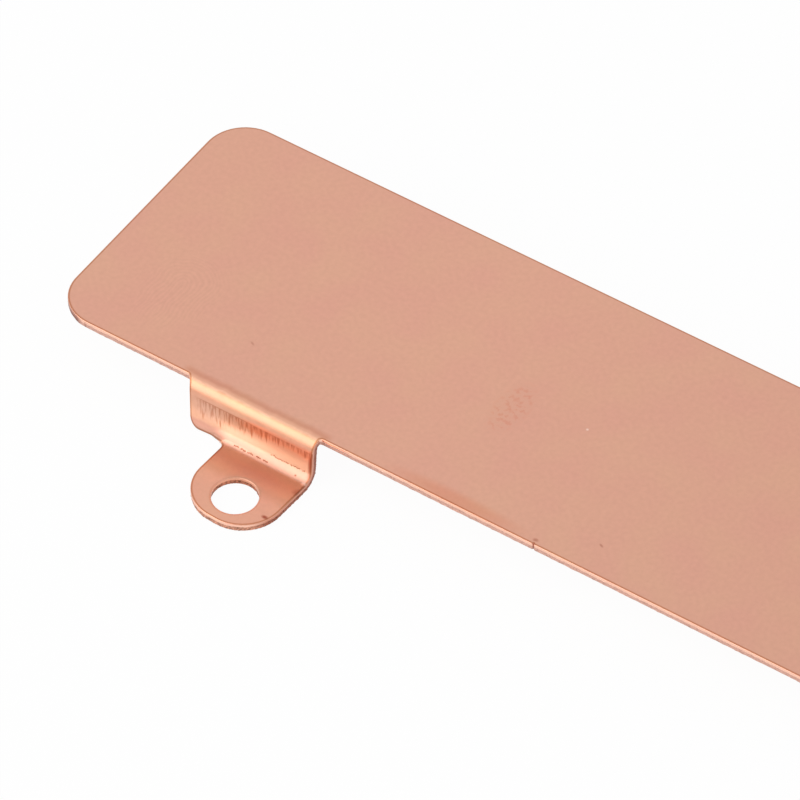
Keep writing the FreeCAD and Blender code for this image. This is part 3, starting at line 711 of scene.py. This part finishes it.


# The sheet's cut edge: copper sheared by the press. The upper band was rubbed bright by the punch,
# and the rest tore off, dull, rough and reddish. Painted shade deepens the torn part on the ear, and
# darkens the edge in the hole, down the tab's right side and round the near left corner.

BURNISHED_COPPER, TORN_COPPER, TORN_EAR_SHADE = linear("#FDCAB3"), linear("#DCB0A0"), linear("#CC957D")
TAB_SIDE_SHADE, HOLE_SHADE, CORNER_SHADE = linear("#CFB0A7"), linear("#E8CFC1"), linear("#B9A5A2")
sheared, tree = new_material("sheared_copper")
mesh.materials.append(sheared)
place = add(tree, "ShaderNodeAttribute", {}, out="Vector", attribute_name="blank")
along, reach, depth = add(tree, "ShaderNodeSeparateXYZ", {0: place}).node.outputs

# The tear starts below the burnished band, on a line that wanders along the edge.
TEAR_LENGTH, TEAR_WANDER = 0.6, 0.16
TEAR_FROM, TEAR_FULL = BURNISHED + 0.05, BURNISHED + 0.11
EAR_FROM, EAR_FULL = 3.5, 5.0
tear = add(tree, "ShaderNodeTexNoise", {"Vector": place, "Scale": 1 / TEAR_LENGTH, "Detail": FINE})
tear = add(tree, "ShaderNodeMath", {0: tear, 1: TEAR_WANDER, 2: depth}, operation="MULTIPLY_ADD")
tear = add(tree, "ShaderNodeMapRange", {"Value": tear, "From Min": TEAR_FROM, "From Max": TEAR_FULL})
# On the ear the torn part takes a deeper colour, which is painted shade.
on_ear = add(tree, "ShaderNodeMapRange", {"Value": reach, "From Min": EAR_FROM, "From Max": EAR_FULL})
torn_off = add(tree, "ShaderNodeMix", {0: on_ear, 6: TORN_COPPER, 7: TORN_EAR_SHADE}, **BLENDED)
colour = add(tree, "ShaderNodeMix", {0: tear, 6: BURNISHED_COPPER, 7: torn_off}, **BLENDED)

# Painted shade on the edge: down the tab's right side, in the hole and round the near left corner.
SIDE_SHADE_LEFT, SIDE_SHADE_FULL = -13.9, -13.3
TAB_FROM, TAB_FULL = 0.1, 0.5
HOLE_OUT, HOLE_FULL = 0.3, 0.15
CORNER_FROM, CORNER_FULL, CORNER_SOFT = -32.3, -32.8, 0.3
on_right = add(tree, "ShaderNodeMapRange",
               {"Value": along, "From Min": SIDE_SHADE_LEFT, "From Max": SIDE_SHADE_FULL})
on_tab = add(tree, "ShaderNodeMapRange", {"Value": reach, "From Min": TAB_FROM, "From Max": TAB_FULL})
tab_side_shaded = add(tree, "ShaderNodeMath", {0: on_right, 1: on_tab}, operation="MULTIPLY")
from_hole = add(tree, "ShaderNodeVectorMath", {0: place, 1: (HOLE_X, PUNCH_CENTRE, SHEET / 2)},
                out="Value", operation="DISTANCE")
in_hole = add(tree, "ShaderNodeMapRange", {"Value": from_hole, "From Min": PUNCH_RADIUS + HOLE_OUT,
                                           "From Max": PUNCH_RADIUS + HOLE_FULL})
on_end = add(tree, "ShaderNodeMapRange",
             {"Value": along, "From Min": CORNER_FROM, "From Max": CORNER_FULL})
on_corner = add(tree, "ShaderNodeMapRange", {"Value": reach,
                                             "From Min": -CORNER_RADIUS - CORNER_SOFT,
                                             "From Max": -CORNER_RADIUS + CORNER_SOFT,
                                             "To Max": on_end})
for share, tint in ((tab_side_shaded, TAB_SIDE_SHADE), (in_hole, HOLE_SHADE), (on_corner, CORNER_SHADE)):
    colour = add(tree, "ShaderNodeMix", {0: share, 6: colour, 7: tint}, **TINTED)

# Crumbs speckle the torn part, most of all on the ear.
CRUMB, CRUMB_RELIEF = 0.15, 0.05
PLATE_SPECKLE, EAR_SPECKLE = 0.15, 0.55
crumbs = add(tree, "ShaderNodeTexNoise", {"Vector": place, "Scale": 1 / CRUMB, "Detail": FINE})
speckle = add(tree, "ShaderNodeMapRange",
              {"Value": on_ear, "To Min": PLATE_SPECKLE, "To Max": EAR_SPECKLE})
tone = add(tree, "ShaderNodeMapRange", {"Value": crumbs, "From Min": NOISE_LOW,
                                        "From Max": NOISE_HIGH, "To Min": -1.0, "To Max": 1.0})
tone = add(tree, "ShaderNodeMath", {0: tone, 1: speckle}, operation="MULTIPLY")
tone = add(tree, "ShaderNodeMath", {0: tone, 1: tear, 2: 1.0}, operation="MULTIPLY_ADD")
colour = add(tree, "ShaderNodeVectorMath", {0: colour, "Scale": tone}, operation="SCALE")

# The nicks in the near edge get painted shade, out to their rims in shares of their widths.
NICK_RIM, NICK_CORE = 1.4, 0.7
NEAR_EDGE_FROM = -0.2
at_near_edge = add(tree, "ShaderNodeMath", {0: reach, 1: NEAR_EDGE_FROM}, operation="GREATER_THAN")
for nick_along, _, nick_wide, nick_shade in NICKS:
    away = add(tree, "ShaderNodeMath", {0: along, 1: nick_along}, operation="SUBTRACT")
    away = add(tree, "ShaderNodeMath", {0: away}, operation="ABSOLUTE")
    mark = add(tree, "ShaderNodeMapRange", {"Value": away, "From Min": NICK_RIM * nick_wide,
                                            "From Max": NICK_CORE * nick_wide, "To Max": nick_shade})
    mark = add(tree, "ShaderNodeMath", {0: mark, 1: at_near_edge}, operation="MULTIPLY")
    colour = add(tree, "ShaderNodeMix", {0: mark, 6: colour, 7: DARK}, **TINTED)
BURNISHED_ROUGHNESS, TORN_ROUGHNESS = 0.25, 0.6
roughness = add(tree, "ShaderNodeMapRange",
                {"Value": tear, "To Min": BURNISHED_ROUGHNESS, "To Max": TORN_ROUGHNESS})
relief = add(tree, "ShaderNodeMath", {0: crumbs, 1: tear}, operation="MULTIPLY")
normal = add(tree, "ShaderNodeBump",
             {"Height": relief, "Distance": CRUMB_RELIEF * MM, "Strength": 1.0})
copper = add(tree, "ShaderNodeBsdfPrincipled", {"Base Color": colour, "Metallic": 1,
                                                "Roughness": roughness, "Normal": normal})
add(tree, "ShaderNodeOutputMaterial", {"Surface": copper})


# The floor: a plain sheet of white paper, just under the ear. It is matt, and it glows where it is
# looked at or mirrored, so that it is white and still holds the soft shadow.

FLOOR_HALF = 3000
FLOOR_GAP = 0.02
FLOOR_GLOW = 0.96
PAPER, WHITE = linear("#F4F4F4"), linear("#FFFFFF")
floor_mesh = bpy.data.meshes.new("floor")
corners = np.array([[-1, -1, 0], [1, -1, 0], [1, 1, 0], [-1, 1, 0]]) * FLOOR_HALF
corners = (corners + [0, 0, low[2] - FLOOR_GAP]) * MM
floor_mesh.from_pydata(corners.tolist(), [], [[0, 1, 2, 3]])
floor = bpy.data.objects.new("floor", floor_mesh)
bpy.context.scene.collection.objects.link(floor)
paper, tree = new_material("white_paper")
floor_mesh.materials.append(paper)
rays = tree.nodes.new("ShaderNodeLightPath").outputs
mirrored = add(tree, "ShaderNodeMath", {0: rays["Is Glossy Ray"], 1: rays["Is Transmission Ray"]},
               operation="MAXIMUM")
glow = add(tree, "ShaderNodeMath", {0: rays["Is Camera Ray"], 1: FLOOR_GLOW, 2: mirrored},
           operation="MULTIPLY_ADD")
matt = add(tree, "ShaderNodeBsdfDiffuse", {"Color": PAPER})
white = add(tree, "ShaderNodeEmission", {"Color": WHITE, "Strength": 1.0})
mixed = add(tree, "ShaderNodeMixShader", {0: glow, 1: matt, 2: white})
add(tree, "ShaderNodeOutputMaterial", {"Surface": mixed})


# The light: a white room, a little darker overhead, which gives less light than it shows, and one
# large softbox high in front and to the left. The bends mirror it, and it casts the soft shadow.

FILL_LEVEL = 0.55
ABOVE_WAY = Vector((-0.38, -0.03, 0.92)).normalized()
ABOVE_WIDE, ABOVE_LEVEL = 17, 0.6
world = bpy.data.worlds.new("studio")
bpy.context.scene.world = world
world.use_nodes = True
tree = world.node_tree
tree.nodes.clear()
rays = tree.nodes.new("ShaderNodeLightPath").outputs
seen = add(tree, "ShaderNodeMath", {0: rays["Is Camera Ray"], 1: rays["Is Glossy Ray"]},
           operation="MAXIMUM")
seen = add(tree, "ShaderNodeMath", {0: seen, 1: rays["Is Transmission Ray"]}, operation="MAXIMUM")
way = add(tree, "ShaderNodeTexCoord", {}, out="Generated")
above = add(tree, "ShaderNodeVectorMath", {0: way, 1: ABOVE_WAY}, out="Value",
            operation="DOT_PRODUCT")
level = add(tree, "ShaderNodeMapRange", {"Value": above, "From Min": np.cos(np.radians(ABOVE_WIDE)),
                                         "From Max": 1.0, "To Min": 1.0, "To Max": ABOVE_LEVEL},
            **EASED)
room = add(tree, "ShaderNodeBackground", {"Color": WHITE, "Strength": level})
fill = add(tree, "ShaderNodeBackground", {"Color": WHITE, "Strength": FILL_LEVEL})
mixed = add(tree, "ShaderNodeMixShader", {0: seen, 1: fill, 2: room})
add(tree, "ShaderNodeOutputWorld", {"Surface": mixed})

# The softbox, by its direction from where the camera aims, and its distance and size in metres.
AIM = Vector((-10.177, -5.090, 0.6)) * MM
SOFTBOX_WAY = Vector((-0.38, -0.60, 0.70)).normalized()
SOFTBOX_AWAY = 0.6
SOFTBOX_SIZE = (0.56, 0.72)
SOFTBOX_LEVEL = 1.95
lamp = bpy.data.lights.new("softbox", "AREA")
lamp.shape = "RECTANGLE"
lamp.size, lamp.size_y = SOFTBOX_SIZE
lamp.energy = SOFTBOX_LEVEL * np.pi * SOFTBOX_SIZE[0] * SOFTBOX_SIZE[1]
softbox = bpy.data.objects.new("softbox", lamp)
softbox.location = AIM + SOFTBOX_AWAY * SOFTBOX_WAY
softbox.rotation_euler = SOFTBOX_WAY.to_track_quat("Z", "Y").to_euler()
bpy.context.scene.collection.objects.link(softbox)


# The camera: a long lens high in front and to the right of the ear, aimed at the plate so that its
# right end runs out of the picture. What it shows lies between the two clip distances, in metres.

AZIMUTH, ELEVATION = np.radians(33.924), np.radians(47.079)
DISTANCE = 533.95 * MM
LENS, SENSOR = 356.25, 36
CLIP_NEAR, CLIP_FAR = 0.01, 20
level_way = Vector((np.sin(AZIMUTH), -np.cos(AZIMUTH), 0))
back_way = level_way * np.cos(ELEVATION) + Vector((0, 0, 1)) * np.sin(ELEVATION)
right_way = Vector((np.cos(AZIMUTH), np.sin(AZIMUTH), 0))
up_way = back_way.cross(right_way)
camera = bpy.data.objects.new("camera", bpy.data.cameras.new("camera"))
camera.data.lens, camera.data.sensor_width = LENS, SENSOR
camera.data.clip_start, camera.data.clip_end = CLIP_NEAR, CLIP_FAR
turned = Matrix((right_way, up_way, back_way)).transposed().to_4x4()
camera.matrix_world = Matrix.Translation(AIM + DISTANCE * back_way) @ turned
bpy.context.scene.collection.objects.link(camera)
bpy.context.scene.camera = camera
bpy.context.scene.view_settings.view_transform = "Standard"
